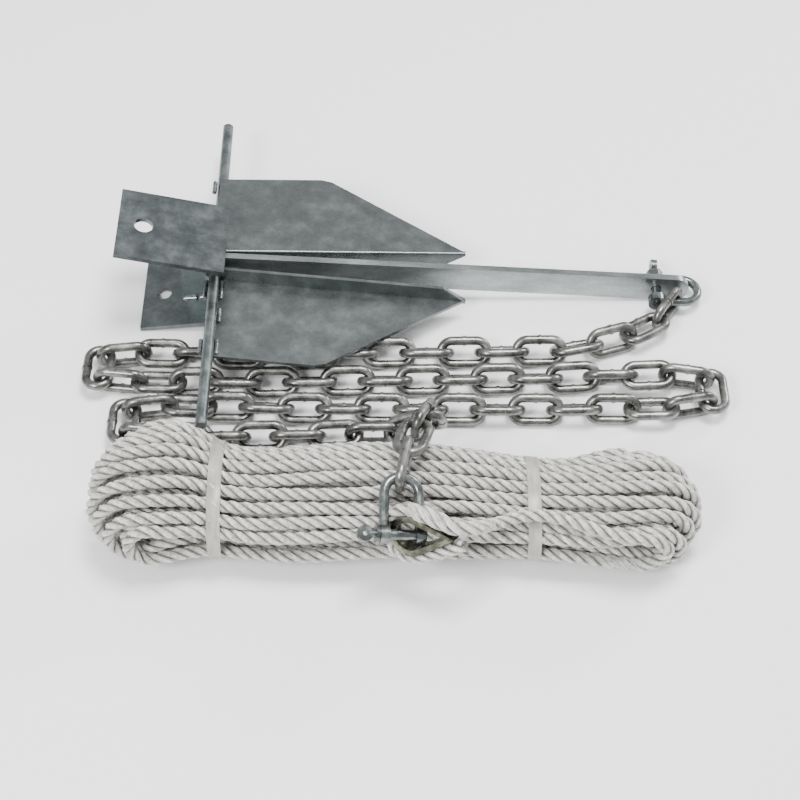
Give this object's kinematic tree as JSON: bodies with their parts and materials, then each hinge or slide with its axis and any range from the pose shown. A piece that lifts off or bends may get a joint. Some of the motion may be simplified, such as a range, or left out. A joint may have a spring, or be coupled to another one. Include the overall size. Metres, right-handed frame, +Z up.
{
  "type": "fluke anchor with chain and rope",
  "caption": "Galvanised fluke anchor lying flat, its chain laid in runs on the floor and joined by shackles to a thimble spliced on a tied hank of white rope.",
  "frame": {"origin": "on the floor under the middle of the anchor with its own shackle, chain and rope left out", "axes": "+X along the shank from the stock to the shackle, +Y to the far fluke, +Z up"},
  "size_m": [0.544, 0.5046, 0.1004],
  "materials": {
    "galvanised_shank": "satin",
    "galvanised_stock": "satin",
    "galvanised_fluke": "satin",
    "galvanised_palm": "satin",
    "weld_zinc": "satin",
    "chain_zinc": "satin",
    "shackle_zinc": "satin",
    "pin_zinc": "satin",
    "thimble_steel": "satin",
    "rope_white": "satin fibre",
    "tape_clear": "translucent"
  },
  "bodies": {
    "rode": {"chain_lead": "chain_zinc", "chain_row_1": "chain_zinc", "chain_turn_left": "chain_zinc", "chain_row_2": "chain_zinc", "chain_turn_right": "chain_zinc", "chain_row_3": "chain_zinc", "chain_turn_back": "chain_zinc", "chain_row_4": "chain_zinc", "chain_tail": "chain_zinc", "rode_shackle_bow": "shackle_zinc", "rode_shackle_pin": "pin_zinc", "thimble": "thimble_steel", "rope_eye": "rope_white", "rope_splice": "rope_white", "rope_lead": "rope_white", "rope_hank": "rope_white", "tape_left": "tape_clear", "tape_right": "tape_clear", "anchor_shackle_bow": "shackle_zinc", "anchor_shackle_pin": "pin_zinc"},
    "shank": {"shank": "galvanised_shank"},
    "flukes": {"fluke_far": "galvanised_fluke", "fluke_near": "galvanised_fluke", "stock": "galvanised_stock", "palm_upper": "galvanised_palm", "palm_lower": "galvanised_palm", "cheek_far": "galvanised_palm", "cheek_near": "galvanised_palm", "welds_stock": "weld_zinc", "welds_palms": "weld_zinc"}
  },
  "joints": [
    {"name": "shank_on_shackle_pin", "type": "hinge", "parent": "rode", "child": "shank", "pos_m": [0.21126, 0, 0.0146], "axis": [0, 1, 0], "range_deg": [0, 60]},
    {"name": "flukes_on_stock", "type": "hinge", "parent": "shank", "child": "flukes", "pos_m": [-0.1738, 0, 0.04152], "axis": [0, 1, 0], "range_deg": [-40, 0]}
  ]
}
